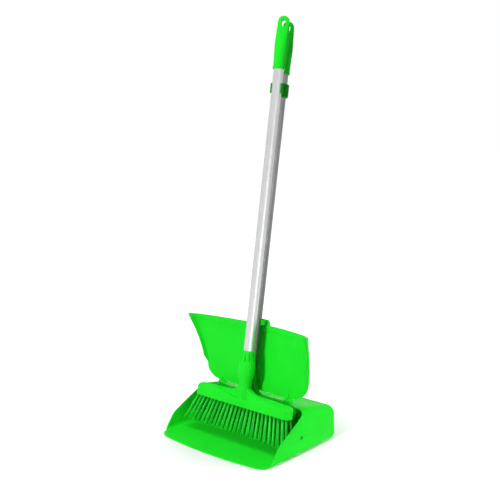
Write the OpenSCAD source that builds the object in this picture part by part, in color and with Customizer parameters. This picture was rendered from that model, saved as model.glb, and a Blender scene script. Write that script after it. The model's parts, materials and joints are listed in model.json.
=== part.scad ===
// Lobby dustpan: a pan on the floor, a scoop lid hinged on its hood, a tipping handle, and a parked broom.
// X runs across the pan, -Y to the mouth, +Z up. The origin is on the floor under the middle of the pan.
// Heights named _s run along the leaning pole, from the pivot of the handle.

/* [Pan] */
// Outside width of the pan
pan_w = 310; // [296:1:320]
// Depth of the pan from the middle of the lip to the back
pan_d = 261; // [252:1:275]
// Thickness of walls and hood
pan_t = 2.6; // [2:0.1:3.4]
// Thickness of the floor
floor_t = 2.8; // [2:0.1:4]
// Height of the hood at its front edge
hood_h = 91; // [88:0.5:93]
// Height of the back
back_h = 70; // [60:1:80]
// How much further back the top of the back wall is than its foot
back_rake = 7; // [0:0.5:10]
// Radius of the back's corners and top edge
back_top_r = 20; // [12:1:26]
// Radius along the foot of the back
back_foot_r = 14; // [8:1:20]
// Radius along the foot of each side wall
side_foot_r = 7; // [4:0.5:9]
// How much further in the sides are at the hood than at their foot
side_rake_w = 3.5; // [0:0.5:6]
// Radius along the sides of the hood at its front
hood_edge_r = 28; // [20:1:30]
// How far the lip bows forward
lip_bow = 13; // [6:1:20]
// Radius of the corners of the lip
lip_corner_r = 32; // [20:1:38]
// Distance from the lip to the foot of the side wall's front edge
wall_foot_d = 30.5; // [28:0.5:36]
// Distance from the lip to the knee of that edge, from where it runs straight to the hood
knee_d = 56; // [52:1:62]
// Height of the knee
knee_h = 38; // [32:1:44]
// Height at which that edge meets the hood
wall_top_h = 84; // [78:0.5:86]

/* [Yoke] */
// How far the poles lean back
lean = 9.3; // [8:0.1:11]
// Distance from the lip to the pivot of the handle
pivot_d = 128.5; // [126:0.5:131]
// Height of the pivot
pivot_h = 36; // [33:0.5:39]
// Radius of the pivot pins
pivot_r = 4; // [3:0.25:5]
// Radius of the bosses round the pivot pins
boss_r = 8; // [7:0.25:8.5]
// Thickness of the yoke's legs
leg_t = 7; // [5:0.25:9]
// Gap between a leg and its side wall
leg_gap = 16; // [15:0.2:20]
// Thickness of the yoke's arms
arm_t = 7; // [5:0.25:9]
// Front to back size of the yoke's legs and arms
yoke_depth = 12; // [9:0.5:14]
// Height of the top of the arms
arm_s = 64; // [62:0.5:65]
// How much lower the arms are where they meet the legs
arm_drop = 10; // [6:0.5:14]
// Outside radius where a leg bends into its arm
bend_r = 14; // [10:0.5:18]
// Radius where an arm sweeps up into the socket
bell_r = 28; // [20:1:32]
// Height of the top of the socket
socket_top_s = 104; // [98:1:105]
// Wall of the socket
socket_wall = 2.2; // [1.8:0.1:2.6]
// Radius of the rivet's shank
rivet_r = 2; // [1.5:0.1:2.5]
// Radius of the rivet's head
rivet_head_r = 3.6; // [3:0.1:5]
// Height of the rivet's head
rivet_head_h = 1.2; // [0.8:0.1:2]

/* [Poles and clip] */
// Outside diameter of both poles
pole_dia = 22; // [20:0.5:22.5]
// Wall of both poles
pole_wall = 1.3; // [0.8:0.1:2]
// Top of the pan's grip
pan_grip_top_s = 872.5; // [850:0.5:900]
// How far the broom's grip ends above the pan's grip
broom_grip_rise = 4.5; // [-10:0.5:10]
// Distance from the pan's grip down to the middle of the broom clip
clip_drop = 36; // [30:1:60]
// Height of the clip's ring
clip_ring_h = 30; // [24:1:36]
// Height of the clip's fingers
clip_finger_h = 21; // [16:1:28]
// Wall of the clip's ring
clip_ring_wall = 4.4; // [3:0.1:5]
// Radius of the ring's rims
clip_rim_r = 3.6; // [1:0.1:4]
// Wall of the clip's fingers
clip_wall = 3; // [2.4:0.1:3.4]
// Width of the web between the ring and the fingers
clip_web_w = 16; // [10:0.5:20]
// Angle of the clip's mouth
clip_mouth_a = 130; // [110:1:150]

/* [Grips] */
// Length of each grip
grip_len = 112.5; // [105:0.5:125]
// Radius of the collar at a grip's foot
grip_collar_r = 13.7; // [13.4:0.1:14.4]
// Height of the collar
grip_collar_h = 6; // [4:0.5:9]
// Width of a grip's neck
grip_neck_w = 25.6; // [25:0.1:26.4]
// Largest width of a grip
grip_w = 29.4; // [27:0.2:32]
// Thickness of a grip where it is widest
grip_t = 24; // [23.6:0.1:25]
// Height at which a grip is widest
grip_belly_h = 54; // [51:1:62]
// Depth of the pole's seat in a grip
grip_seat = 42; // [30:1:50]
// Width of a grip at its top
grip_top_w = 24.6; // [22:0.2:26]
// Thickness of a grip at its top
grip_top_t = 11; // [8:0.5:14]
// Width of the hang hole
hang_w = 9; // [7:0.5:11]
// Height of the hang hole
hang_h = 15; // [13:0.5:18]
// Which way the flats of the grips face, from straight ahead
grip_turn = 36; // [0:1:90]

/* [Lid] */
// Height of the lid from its hinge to its free edge
lid_h = 149; // [135:1:158]
// Height of the lid's lower edge above its hinge
lid_foot_h = 4.5; // [3:0.5:5]
// Width of the lid at its foot
lid_foot_w = 196; // [190:1:204]
// Width of the lid above its lower corners
lid_hip_w = 290; // [275:1:298]
// Width of the lid at its free edge
lid_top_w = 338; // [320:1:350]
// Height of the rounded lower corners
lid_round_h = 32; // [26:1:44]
// How far the corners of the free edge come forward
lid_curl = 61; // [50:1:62]
// Height at which the lid starts to bow forward
lid_curl_h = 36; // [20:1:46]
// Radius of the corners of the free edge
lid_corner_r = 3.5; // [2:0.5:6]
// How far the lid's edges come forward at its foot
lid_rim = 2; // [1:0.5:4]
// Thickness of the lid
lid_t = 2.4; // [2:0.1:3.2]
// Height of the thick band along the free edge
band_h = 11; // [7:0.5:15]
// How much thicker the band is
band_t = 1.6; // [1:0.1:2.4]
// Gap between the lid and the pan pole
lid_pole_gap = 5.6; // [5:0.1:7]
// Height of the lid's hinge
hinge_s = 64.7; // [63.5:0.1:68]
// Distance of each hinge from the middle
hinge_x = 96; // [70:1:98]
// Width of a lid knuckle
knuckle_w = 10; // [7:0.5:12]
// Radius of a knuckle
knuckle_r = 5.4; // [4.6:0.1:5.8]
// Radius of a hinge pin
hinge_pin_r = 2.5; // [1.5:0.1:3]
// Thickness of a hinge ear
ear_t = 3.2; // [2.4:0.1:4]
// Height of a gusset rib above the hinge
rib_h = 27; // [18:1:34]
// Thickness of a gusset rib
rib_t = 2.4; // [1.6:0.1:4]
// Width of the tab at the top of the lid
tab_w = 48; // [40:1:70]
// Height of the tab
tab_h = 12; // [10:1:18]
// Radius of the tab's corners
tab_corner_r = 9; // [4:0.5:9.5]
// Thickness of each prong on the tab
prong_t = 2.8; // [2:0.1:4]

/* [Broom] */
// How far the broom stands to the right of the pan pole
broom_x = 10.5; // [8.5:0.1:12]
// How far the broom stands in front of the pan pole
broom_gap = 29.5; // [29.3:0.1:31]
// Length of the block
block_len = 264; // [244:1:266]
// Front to back size of the block
block_depth = 29; // [27:0.1:29.2]
// Height of the block's foot
block_s = 38; // [36:0.5:44]
// Height of the block's ends
block_end_h = 27; // [22:0.5:28]
// Height of the block's shoulders beside the socket
block_mid_h = 31; // [29:0.5:34]
// Radius of the block's ends, seen from above
block_end_r = 13; // [8:0.5:13]
// Height of the block's domed top edge
block_dome_h = 9; // [4:0.5:12]
// Thickness of the web that sweeps up to the socket
block_web_t = 12; // [8:0.5:16]
// Length of the hollow on each side of the socket
recess_len = 50; // [30:1:60]
// Depth of those hollows
recess_depth = 8; // [3:0.2:8.4]
// How far the recess reaches below the top of the block beside the socket
recess_drop = 11; // [6:0.5:14]
// Top of the block's socket
broom_socket_top_s = 88; // [82:1:96]
// Radius of the block's socket
broom_socket_r = 14.5; // [14:0.1:15]
// Length of the collet nut
nut_len = 71; // [60:1:80]
// Largest radius of the collet nut
nut_r = 18.4; // [17:0.1:18.6]
// Radius of the collet nut's top
nut_top_r = 14; // [13.2:0.1:15]
// Number of slits round the top of the nut
nut_slits = 10; // [6:1:14]
// Width of a slit
slit_w = 2; // [1.4:0.1:3]
// Length of a slit
slit_len = 19; // [10:1:26]
// Length of the bristles
bristle_len = 59; // [52:0.5:60]
// How many tufts a row has
tuft_columns = 24; // [20:1:26]
// Radius of a bristle strand
strand_r = 1.25; // [0.9:0.05:1.35]
// Thickness of the backing that the bristles are set in
slice_h = 2; // [1.5:0.1:3]
// Gap between the last bristle tips and the right wall
tip_gap = 5; // [4:0.5:8]
// How far the tips are swept to the left
tip_sweep = 8.5; // [4:0.5:10]
// How much further forward the front row is at its tips than at its roots
row_fan = 5; // [0:0.5:6]

/* [Hidden] */
$fn = 64;
// Cuts run past their faces by this much
over = 2;
// Gap round what slides into its seat
fit_gap = 0.05;
// Gap round the broom's pole in the clip
slide_gap = 0.1;
// Gap between moving faces
run_gap = 0.4;
// Segments of a rounded corner
corner_steps = 8;
// Taller than the pan
clear_h = hood_h * 2;

pole_r = pole_dia / 2;
pan_grip_s = pan_grip_top_s - grip_len;
broom_grip_s = pan_grip_s + broom_grip_rise;
clip_s = pan_grip_s - clip_drop;
front_y = -pan_d / 2;
back_y = pan_d / 2;
pivot_y = front_y + pivot_d;
wall_lean_share = side_rake_w / (hood_h - hood_edge_r - side_foot_r);
function wall_x(z) = pan_w / 2 - wall_lean_share * (z - side_foot_r);
inner_x = wall_x(pivot_h + boss_r) - pan_t;

// Yoke
leg_x = inner_x - leg_gap;
socket_r = pole_r + socket_wall;
arm_bottom_s = arm_s - arm_t;
pole_seat_s = arm_s + arm_t;
rivet_s = (pole_seat_s + socket_top_s) / 2;

// Hood: its front edge stops the yoke's arms, and its top falls to the back
hood_front_y = pivot_y + arm_s * sin(lean) + yoke_depth / 2 * cos(lean) + run_gap;
hood_slope = atan2(hood_h - back_h, back_y - hood_front_y);
function hood_z(y) = hood_h - (y - hood_front_y) * tan(hood_slope);

// Lid hinge, behind the pan pole and parallel to it
lid_back = pole_r + lid_pole_gap + lid_t / 2;
hinge_y = pivot_y + hinge_s * sin(lean) + lid_back * cos(lean);
hinge_z = pivot_h + hinge_s * cos(lean) - lid_back * sin(lean);
hinge_half_w = knuckle_w / 2 + run_gap + ear_t;

green = "limegreen";
metal = "silver";

// Rounded outlines: each corner is [x, y] or [x, y, radius]
function unit(v) = v / norm(v);
function flat(p) = [p[0], p[1]];
function turn(a) = a > 180 ? a - 360 : a < -180 ? a + 360 : a;
function polar(r, a) = r * [cos(a), sin(a)];
function corner(p, q, s, r) =
  r == 0 ? [q] :
  let (
    u = unit(p - q),
    v = unit(s - q),
    half = acos(u * v) / 2,
    c = q + unit(u + v) * r / sin(half),
    from = q + u * r / tan(half) - c,
    to = q + v * r / tan(half) - c,
    a = atan2(from[1], from[0]),
    sweep = turn(atan2(to[1], to[0]) - a)
  )
  [for (i = [0:corner_steps]) c + polar(r, a + sweep * i / corner_steps)];
function rounded(pts) = [
  for (i = [0:len(pts) - 1])
    let (
      before = pts[(i + len(pts) - 1) % len(pts)],
      after = pts[(i + 1) % len(pts)],
      r = is_undef(pts[i][2]) ? 0 : pts[i][2]
    )
    each corner(flat(before), flat(pts[i]), flat(after), r)
];
// The other half of an outline that is alike on both sides, in reverse order
function mirrored(pts) = [for (i = [len(pts) - 1:-1:0]) [-pts[i][0], pts[i][1], pts[i][2]]];

// Frames of the moving assemblies
module in_handle() translate([0, pivot_y, pivot_h]) rotate([-lean, 0, 0]) children();
module in_lid() translate([0, hinge_y, hinge_z]) rotate([-lean, 0, 0]) children();
module in_broom() in_handle() translate([broom_x, -broom_gap, 0]) children();

// Solids with an outline in the side, front or top view
module side_prism(pts, w) rotate([90, 0, 90]) linear_extrude(w, center = true) polygon(rounded(pts));
module front_prism(pts, d) rotate([90, 0, 0]) linear_extrude(d, center = true) polygon(rounded(pts));
module top_prism(pts, h) linear_extrude(h) polygon(rounded(pts));
module pin_x(r, from, to) translate([from, 0, 0]) rotate([0, 90, 0]) cylinder(r = r, h = to - from);
module both_sides() {
  children();
  mirror([1, 0, 0]) children();
}

// Pan
pan_side = [
  [front_y, 0],
  [back_y + over, 0],
  [back_y + over, clear_h],
  [hood_front_y, clear_h],
  [hood_front_y, wall_top_h, pan_t * 2],
  [front_y + knee_d, knee_h, knee_h],
  [front_y + wall_foot_d, floor_t, floor_t],
  [front_y, floor_t]
];
pan_inside = [
  [front_y - over, floor_t], [back_y + over, floor_t], [back_y + over, clear_h], [front_y - over, clear_h]
];
lip_shares = [-0.7, -0.45, -0.2, 0, 0.2, 0.45, 0.7];
pan_plan = concat(
  [
    [pan_w / 2, back_y + over], [-pan_w / 2, back_y + over],
    [-pan_w / 2, front_y + lip_bow, lip_corner_r]
  ],
  [for (share = lip_shares) [share * pan_w / 2, front_y + lip_bow * share * share]],
  [[pan_w / 2, front_y + lip_bow, lip_corner_r]]
);

// One form gives the outside of the pan and, drawn in by the wall, its inside
ball_fn = 40;
knee_y = front_y + knee_d;
front_ball_y = front_y - pan_d / 2;
module ball(x, y, z, r, inset) both_sides() translate([x - r, y, z]) sphere(r = r - inset, $fn = ball_fn);
module roof_ball(y, r, inset) ball(pan_w / 2 - side_rake_w, y, hood_z(y) - r / cos(hood_slope), r, inset);
module foot_ball(y, r, inset) ball(pan_w / 2, y, r, r, inset);
module pan_form(inset) hull() {
  roof_ball(back_y - back_top_r, back_top_r, inset);
  roof_ball(knee_y, hood_edge_r, inset);
  roof_ball(front_ball_y, hood_edge_r, inset);
  foot_ball(back_y - back_rake - back_foot_r, back_foot_r, inset);
  foot_ball(front_ball_y, side_foot_r, inset);
}

module pan_shell() difference() {
  intersection() {
    pan_form(0);
    side_prism(pan_side, pan_w);
    top_prism(pan_plan, clear_h);
  }
  intersection() {
    pan_form(pan_t);
    side_prism(pan_inside, pan_w);
  }
}

module hinge_ears() for (x = [-hinge_x, hinge_x], side = [-1, 1])
  translate([x + side * (hinge_half_w - ear_t / 2), hinge_y, 0]) {
    translate([0, 0, hinge_z]) pin_x(knuckle_r, -ear_t / 2, ear_t / 2);
    translate([-ear_t / 2, -knuckle_r, hood_z(hinge_y) - pan_t])
      cube([ear_t, knuckle_r * 2, hinge_z - hood_z(hinge_y) + pan_t]);
  }

module pan_body() color(green) difference() {
  union() {
    pan_shell();
    hinge_ears();
  }
  translate([0, pivot_y, pivot_h]) pin_x(pivot_r + fit_gap, -pan_w, pan_w);
  translate([0, hinge_y, hinge_z]) pin_x(hinge_pin_r + fit_gap, -pan_w, pan_w);
}

module lid_hinge_pins() color(green) translate([0, hinge_y, hinge_z])
  for (x = [-hinge_x, hinge_x]) pin_x(hinge_pin_r, x - hinge_half_w, x + hinge_half_w);

// Lid: a sheet whose sections bow more and more towards the free edge.
// Shares of the half width, and the shares of the bow that the sheet has there
lid_x_shares = [-1, -0.97, -0.93, -0.8, -0.6, -0.4, -0.2, 0, 0.2, 0.4, 0.6, 0.8, 0.93, 0.97, 1];
lid_bow_shares = [1, 0.8, 0.66, 0.46, 0.27, 0.12, 0.03, 0, 0.03, 0.12, 0.27, 0.46, 0.66, 0.8, 1];
lid_row_shares = [0, 0.02, 0.06, 0.12, 0.2, 0.3, 0.4, 0.5, 0.6, 0.7, 0.8, 0.88];
lid_bow_power = 1.4;
band_step = band_t / 2;
lid_hip_h = lid_foot_h + lid_round_h;
band_row_shares = [1, 0.75, 0.54, 0.36, 0.2, 0.09, 0.02, 0];
corner_h = lid_h - lid_corner_r;
function leg(hypotenuse, other) = sqrt(max(0, pow(hypotenuse, 2) - pow(other, 2)));
function corner_in(h) = lid_corner_r - leg(lid_corner_r, max(0, h - corner_h));
function lid_half_w(h) = lid_straight_w(h) - corner_in(h);
function lid_straight_w(h) = h < lid_hip_h
  ? (lid_foot_w + (lid_hip_w - lid_foot_w) * leg(lid_round_h, lid_hip_h - h) / lid_round_h) / 2
  : (lid_hip_w + (lid_top_w - lid_hip_w) * (h - lid_hip_h) / (lid_h - lid_hip_h)) / 2;
function lid_bow(h) = lid_rim +
  (lid_curl - lid_rim) * pow(max(0, h - lid_curl_h) / (lid_h - lid_curl_h), lid_bow_power);
// Each row is a height and how much thicker the sheet is there
lid_rows = concat(
  [for (share = lid_row_shares) [lid_foot_h + share * (lid_h - lid_foot_h), 0]],
  [[lid_h - band_h - band_step, 0]],
  [for (share = band_row_shares) [lid_h - band_h * share, band_t]]
);
lid_n = len(lid_x_shares);
lid_last = lid_n - 1;
function lid_mid(h, j) = [lid_x_shares[j] * lid_half_w(h), -lid_bow_shares[j] * lid_bow(h)];
function lid_normal(h, j) =
  let (d = unit(lid_mid(h, min(j + 1, lid_last)) - lid_mid(h, max(j - 1, 0)))) [d[1], -d[0]];
function lid_point(row, j, out) =
  let (p = lid_mid(row[0], j) + lid_normal(row[0], j) * out) [p[0], p[1], row[0]];
lid_points = concat(
  [for (row = lid_rows, j = [0:lid_last]) lid_point(row, j, lid_t / 2 + row[1])],
  [for (row = lid_rows, j = [0:lid_last]) lid_point(row, j, -lid_t / 2)]
);
lid_half = len(lid_rows) * lid_n;
lid_top = lid_half - lid_n;
function quad(a, b, c, d) = [[a, b, c], [a, c, d]];
lid_faces = [
  for (i = [0:len(lid_rows) - 2], j = [0:lid_last - 1])
    let (a = i * lid_n + j, b = a + 1, c = b + lid_n, d = a + lid_n)
    each concat(quad(d, c, b, a), quad(a + lid_half, b + lid_half, c + lid_half, d + lid_half)),
  for (j = [0:lid_last - 1])
    let (a = j, b = lid_top + j)
    each concat(
      quad(a, a + 1, a + 1 + lid_half, a + lid_half),
      quad(b + lid_half, b + 1 + lid_half, b + 1, b)
    ),
  for (i = [0:len(lid_rows) - 2])
    let (a = i * lid_n, d = a + lid_n, b = a + lid_last, c = d + lid_last)
    each concat(quad(a, a + lid_half, d + lid_half, d), quad(c, c + lid_half, b + lid_half, b))
];

prong_reach = lid_back + prong_t;
module lid_tab() {
  front_prism(
    [
      [-tab_w / 2, lid_h - band_h], [tab_w / 2, lid_h - band_h],
      [tab_w / 2, lid_h + tab_h, tab_corner_r], [-tab_w / 2, lid_h + tab_h, tab_corner_r]
    ],
    lid_t
  );
  both_sides() translate([pole_r + run_gap, -prong_reach, lid_h]) cube([prong_t, prong_reach, tab_h]);
}

module lid_knuckles() for (x = [-hinge_x, hinge_x]) translate([x, 0, 0]) {
  pin_x(knuckle_r, -knuckle_w / 2, knuckle_w / 2);
  translate([-knuckle_w / 2, -lid_t / 2, 0]) cube([knuckle_w, lid_t, knuckle_r * 2]);
  side_prism([[0, 0], [0, rib_h], [-knuckle_r, knuckle_r], [-knuckle_r, 0]], rib_t);
}

module lid_ear_notches() for (x = [-hinge_x, hinge_x])
  translate([x - hinge_half_w - run_gap, -knuckle_r - run_gap, -over])
    cube([(hinge_half_w + run_gap) * 2, (knuckle_r + run_gap) * 2, knuckle_r + run_gap + over]);

module lid() color(green) in_lid() difference() {
  union() {
    difference() {
      polyhedron(lid_points, lid_faces);
      lid_ear_notches();
    }
    lid_tab();
    lid_knuckles();
  }
  pin_x(hinge_pin_r + fit_gap, -lid_top_w, lid_top_w);
}

// Yoke: legs, arms that slope up to a bell, and the pole's socket
arm_flat_share = 0.73;
arm_flat_x = leg_x * arm_flat_share;
arm_end_s = arm_s - arm_drop;
yoke_right = [
  [leg_x, 0],
  [leg_x, arm_end_s, bend_r],
  [arm_flat_x, arm_s, arm_s],
  [socket_r, arm_s, bell_r],
  [socket_r, pole_seat_s + bell_r]
];
yoke_arch = [
  [leg_x - leg_t, -over],
  [leg_x - leg_t, arm_end_s - arm_t, bend_r / 2],
  [arm_flat_x, arm_bottom_s, arm_s],
  [socket_r + bell_r / 2, arm_bottom_s, bell_r],
  [socket_r / 2, arm_s, pan_t]
];

module yoke() color(green) in_handle() difference() {
  union() {
    difference() {
      front_prism(concat(yoke_right, mirrored(yoke_right)), yoke_depth);
      front_prism(concat(yoke_arch, mirrored(yoke_arch)), yoke_depth + over);
    }
    both_sides() pin_x(boss_r, leg_x - leg_t, inner_x - run_gap);
    translate([0, 0, arm_s]) cylinder(r = socket_r, h = socket_top_s - arm_s);
  }
  translate([0, 0, pole_seat_s]) cylinder(r = pole_r + fit_gap, h = socket_top_s);
  pin_x(pivot_r + fit_gap, -pan_w, pan_w);
  rivet_bore();
}

module rivet_bore() translate([0, 0, rivet_s]) rotate([-90, 0, 0])
  cylinder(r = rivet_r + fit_gap, h = pan_d);

module yoke_pivot_pins() color(green) in_handle() both_sides()
  pin_x(pivot_r, leg_x - leg_t, wall_x(pivot_h));

module tube(from, to) translate([0, 0, from]) difference() {
  cylinder(r = pole_r, h = to - from);
  translate([0, 0, -over]) cylinder(r = pole_r - pole_wall, h = to - from + over * 2);
}

module pan_pole() color(metal) in_handle() difference() {
  tube(pole_seat_s, pan_grip_s + grip_seat);
  rivet_bore();
}

module pole_rivet() color(metal) in_handle() translate([0, 0, rivet_s]) rotate([-90, 0, 0]) {
  translate([0, 0, pole_r - pole_wall]) cylinder(r = rivet_r, h = pole_wall + socket_wall);
  translate([0, 0, socket_r]) cylinder(r = rivet_head_r, h = rivet_head_h);
}

// Grips: a round collar that flows into a flat paddle with a hang hole
hang_z = grip_len - grip_top_w / 2 - (hang_h - hang_w) / 2;
module slot_y(w, h, d) rotate([90, 0, 0]) {
  for (end = [-1, 1]) translate([0, end * (h - w) / 2, 0]) cylinder(r = w / 2, h = d, center = true);
  cube([w, h - w, d], center = true);
}
grip_fn = 48;
module grip_belly() translate([0, 0, grip_belly_h]) scale([grip_w / grip_t, 1, 1])
  cylinder(r = grip_t / 2, h = over, center = true, $fn = grip_fn);
module grip() rotate([0, 0, grip_turn]) difference() {
  union() {
    cylinder(r = grip_collar_r, h = grip_collar_h);
    hull() {
      cylinder(r = grip_neck_w / 2, h = grip_collar_h * 2, $fn = grip_fn);
      grip_belly();
    }
    hull() {
      grip_belly();
      translate([0, 0, grip_len - grip_top_w / 2]) rotate([90, 0, 0])
        cylinder(r = grip_top_w / 2, h = grip_top_t, center = true, $fn = grip_fn);
    }
  }
  translate([0, 0, -over]) cylinder(r = pole_r + fit_gap, h = grip_seat + over);
  translate([0, 0, hang_z]) slot_y(hang_w, hang_h, grip_w * 2);
}

module pan_grip() color(green) in_handle() translate([0, 0, pan_grip_s]) grip();

// Clip: a ring on the pan pole and a sprung mouth for the broom's pole
clip_span = norm([broom_x, broom_gap]);
clip_turn = atan2(broom_x, broom_gap);
clip_seat_r = pole_r + slide_gap;
mouth_side = clip_span * [sin(clip_mouth_a / 2), -cos(clip_mouth_a / 2)];
mouth = [[0, 0], [-mouth_side[0], mouth_side[1]], [0, -clip_span * 2], mouth_side];
clip_ring = [
  [pole_r, -clip_ring_h / 2],
  [pole_r + clip_ring_wall, -clip_ring_h / 2, clip_rim_r],
  [pole_r + clip_ring_wall, clip_ring_h / 2, clip_rim_r],
  [pole_r, clip_ring_h / 2]
];
module broom_clip() color(green) in_handle() translate([0, 0, clip_s]) rotate([0, 0, clip_turn])
  difference() {
    union() {
      rotate_extrude() polygon(rounded(clip_ring));
      translate([0, -clip_span, 0]) cylinder(r = clip_seat_r + clip_wall, h = clip_finger_h, center = true);
      translate([0, -clip_span / 2, 0]) cube([clip_web_w, clip_span, clip_finger_h], center = true);
    }
    cylinder(r = pole_r + fit_gap, h = clip_ring_h + over, center = true);
    translate([0, -clip_span, 0]) cylinder(r = clip_seat_r, h = clip_ring_h + over, center = true);
    translate([0, -clip_span, 0]) linear_extrude(clip_ring_h + over, center = true) polygon(mouth);
  }

// Broom block: a long block with a saddle that rises to its socket, hollowed beside the socket
block_foot_s = block_s + slice_h;
block_top_s = block_s + block_end_h;
block_mid_s = block_s + block_mid_h;
saddle_s = block_mid_s + block_end_h / 2;
web_foot_x = broom_socket_r + recess_len;
block_web = [
  [web_foot_x, block_foot_s],
  [web_foot_x, block_top_s],
  [broom_socket_r * 2, block_mid_s, block_end_h],
  [broom_socket_r / 2, saddle_s]
];
block_plan = [
  [block_len / 2, block_depth / 2, block_end_r], [-block_len / 2, block_depth / 2, block_end_r],
  [-block_len / 2, -block_depth / 2, block_end_r], [block_len / 2, -block_depth / 2, block_end_r]
];
recess = [
  [broom_socket_r / 2, block_top_s - recess_drop],
  [broom_socket_r + recess_len, block_top_s],
  [broom_socket_r / 2, saddle_s]
];

// A post with a domed top; eight of them span the bar
dome_fn = 40;
module post(x, h) for (side = [-1, 1])
  translate([x, side * (block_depth / 2 - block_end_r), block_foot_s]) {
    cylinder(r = block_end_r, h = h - block_dome_h, $fn = dome_fn);
    translate([0, 0, h - block_dome_h]) scale([1, 1, block_dome_h / block_end_r])
      sphere(r = block_end_r, $fn = dome_fn);
  }
module block_bar() hull() both_sides() {
  post(block_len / 2 - block_end_r, block_end_h - slice_h);
  post(broom_socket_r, block_mid_h - slice_h);
}

module broom_block() color(green) in_broom() difference() {
  union() {
    difference() {
      block_bar();
      for (face = [0, 1]) mirror([0, face, 0]) both_sides()
        translate([0, -block_depth / 2, 0]) front_prism(recess, recess_depth * 2);
    }
    front_prism(concat(block_web, mirrored(block_web)), block_web_t);
    translate([0, 0, block_foot_s]) cylinder(r = broom_socket_r, h = broom_socket_top_s - block_foot_s);
  }
  translate([0, 0, block_top_s]) cylinder(r = pole_r + fit_gap, h = clear_h);
}

// Collet nut: barrel-shaped, with slits round its top
nut_shares = [0.11, 0.28, 0.5, 0.94];
nut_profile = [
  [pole_r + fit_gap, 0],
  [broom_socket_r, 0],
  [broom_socket_r, nut_len * nut_shares[0]],
  [nut_r, nut_len * nut_shares[1]],
  [nut_r, nut_len * nut_shares[2]],
  [nut_top_r, nut_len * nut_shares[3]],
  [nut_top_r - pole_wall, nut_len],
  [pole_r + fit_gap, nut_len]
];
slit_s = nut_len * nut_shares[3] - slit_len;
module collet_nut() color(green) in_broom() translate([0, 0, broom_socket_top_s]) difference() {
  rotate_extrude() polygon(nut_profile);
  for (i = [0:nut_slits - 1]) rotate([0, 0, i * 360 / nut_slits])
    translate([nut_top_r - slit_w / 2, -slit_w / 2, slit_s]) cube([nut_r, slit_w, slit_len]);
}

module broom_pole() color(metal) in_broom() tube(block_top_s, broom_grip_s + grip_seat);
module broom_grip() color(green) in_broom() translate([0, 0, broom_grip_s]) grip();

// Bristles: tufts of four strands, each a tapering three-sided rod, spread evenly so that none cross
tuft_rows = 4;
row_pitch = (block_depth - slice_h) / tuft_rows;
tuft_pitch = (block_len - block_end_r) / tuft_columns;
strand_gap_share = 1.35;
strand_tip_share = 0.8;
strand_trim_share = 0.05;
strand_spread = strand_r * strand_gap_share;
strand_corners = [for (a = [90:120:330]) polar(strand_r, a)];
strand_faces = [[0, 2, 1], [3, 4, 5], [0, 1, 4], [0, 4, 3], [1, 2, 5], [1, 5, 4], [2, 0, 3], [2, 3, 5]];
function row_y(row) = (row - (tuft_rows + 1) / 2) * row_pitch;
function tuft_x(i) = (i - (tuft_columns - 1) / 2) * tuft_pitch;
last_x = tuft_x(tuft_columns - 1) + strand_spread;
rear_y = row_y(tuft_rows) + strand_spread;
fan_share = (inner_x - tip_gap + tip_sweep - broom_x) / last_x;
function strand_tip(root) =
  [root[0] * fan_share - tip_sweep, root[1] + row_fan * (root[1] - rear_y) / (rear_y * 2)];
tuft_angle = 47;
strand_angle = 71;
function strand_length(i, k) =
  bristle_len * (1 - strand_trim_share * abs(sin(i * tuft_angle + k * strand_angle)));
function strand_points(root, length) =
  let (tip = strand_tip(root))
  concat(
    [for (c = strand_corners) [root[0] + c[0], root[1] + c[1], slice_h / 2]],
    [for (c = strand_corners) [tip[0] + c[0] * strand_tip_share, tip[1] + c[1] * strand_tip_share, -length]]
  );

module bristle_row(row) color(green) in_broom() translate([0, 0, block_s]) {
  intersection() {
    top_prism(block_plan, slice_h - fit_gap);
    translate([-block_len / 2, row_y(row) - row_pitch / 2 + fit_gap, -over])
      cube([block_len, row_pitch - fit_gap, slice_h + over * 2]);
  }
  for (i = [0:tuft_columns - 1], k = [0:3])
    let (root = [tuft_x(i), row_y(row)] + strand_spread * [k % 2 == 0 ? -1 : 1, k < 2 ? -1 : 1])
      polyhedron(strand_points(root, strand_length(i, k + row)), strand_faces);
}
module bristles_row_1() bristle_row(1);
module bristles_row_2() bristle_row(2);
module bristles_row_3() bristle_row(3);
module bristles_row_4() bristle_row(4);

pan_body();
lid_hinge_pins();
lid();
yoke();
yoke_pivot_pins();
pan_pole();
pole_rivet();
pan_grip();
broom_clip();
broom_block();
collet_nut();
broom_pole();
broom_grip();
bristles_row_1();
bristles_row_2();
bristles_row_3();
bristles_row_4();
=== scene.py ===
import json
import math
import random

import bmesh
import bpy
from mathutils import Matrix, Vector


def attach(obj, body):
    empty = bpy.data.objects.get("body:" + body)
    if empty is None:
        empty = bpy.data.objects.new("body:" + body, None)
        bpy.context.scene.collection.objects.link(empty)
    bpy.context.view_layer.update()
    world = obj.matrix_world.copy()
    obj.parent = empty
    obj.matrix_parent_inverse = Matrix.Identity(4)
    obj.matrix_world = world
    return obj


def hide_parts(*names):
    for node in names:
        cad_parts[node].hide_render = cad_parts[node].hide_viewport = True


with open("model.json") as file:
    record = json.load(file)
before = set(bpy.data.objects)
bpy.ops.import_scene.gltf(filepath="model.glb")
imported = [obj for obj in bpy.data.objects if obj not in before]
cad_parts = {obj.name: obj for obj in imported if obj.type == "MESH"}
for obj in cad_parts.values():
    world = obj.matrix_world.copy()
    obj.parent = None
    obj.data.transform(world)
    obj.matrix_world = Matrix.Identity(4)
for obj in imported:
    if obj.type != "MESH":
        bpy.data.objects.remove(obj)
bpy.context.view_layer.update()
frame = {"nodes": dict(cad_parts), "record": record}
nodes = frame["nodes"]
scene = bpy.context.scene
scene.view_settings.view_transform = "Standard"

# Sizes of the object are in millimetres, and those of the camera and the stage in metres
MM = 0.001

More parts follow.
